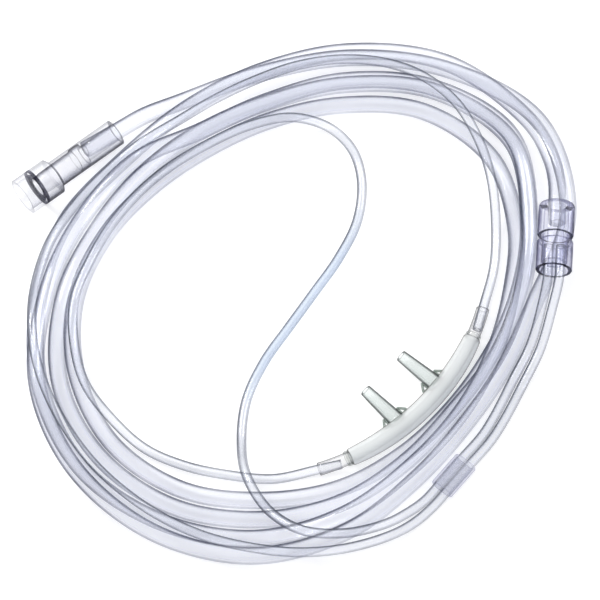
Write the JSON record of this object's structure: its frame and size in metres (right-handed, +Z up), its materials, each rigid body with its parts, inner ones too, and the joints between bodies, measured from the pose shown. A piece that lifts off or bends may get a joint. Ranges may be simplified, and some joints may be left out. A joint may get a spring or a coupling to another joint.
{
  "type": "nasal oxygen cannula",
  "caption": "Nasal oxygen cannula, loosely coiled: soft nasal piece with prongs, clear ear tubes through a slider to a junction, and a supply tube with a bell connector.",
  "frame": {"origin": "under the middle of the nasal piece, level with its underside, which lies on the table; the tubes, slider, junction and connector aren't counted", "axes": "+X along the nasal piece to its right-hand socket, +Y the way the prongs point, +Z up off the table"},
  "size_m": [0.1934, 0.1716, 0.0181],
  "materials": {
    "nasal_soft": "frosted soft vinyl",
    "supply_vinyl": "clear glossy vinyl with a lavender tint",
    "ear_vinyl": "clear glossy vinyl with a pale blue tint",
    "slider_plastic": "semi-clear grey-lavender plastic",
    "junction_plastic": "hard clear blue-violet plastic",
    "connector_vinyl": "clear glossy soft plastic"
  },
  "bodies": {
    "cannula": {"nasal_piece": "nasal_soft", "supply_tube": "supply_vinyl", "ear_tube_left": "ear_vinyl", "ear_tube_right": "ear_vinyl", "junction_body": "junction_plastic", "junction_collar": "junction_plastic", "supply_connector": "connector_vinyl"},
    "slider": {"slider": "slider_plastic"}
  },
  "joints": [
    {"name": "slider_slide", "type": "slide", "parent": "cannula", "child": "slider", "axis": [0.9976, 0.0698, 0], "range_m": [-0.004, 0.008]}
  ]
}
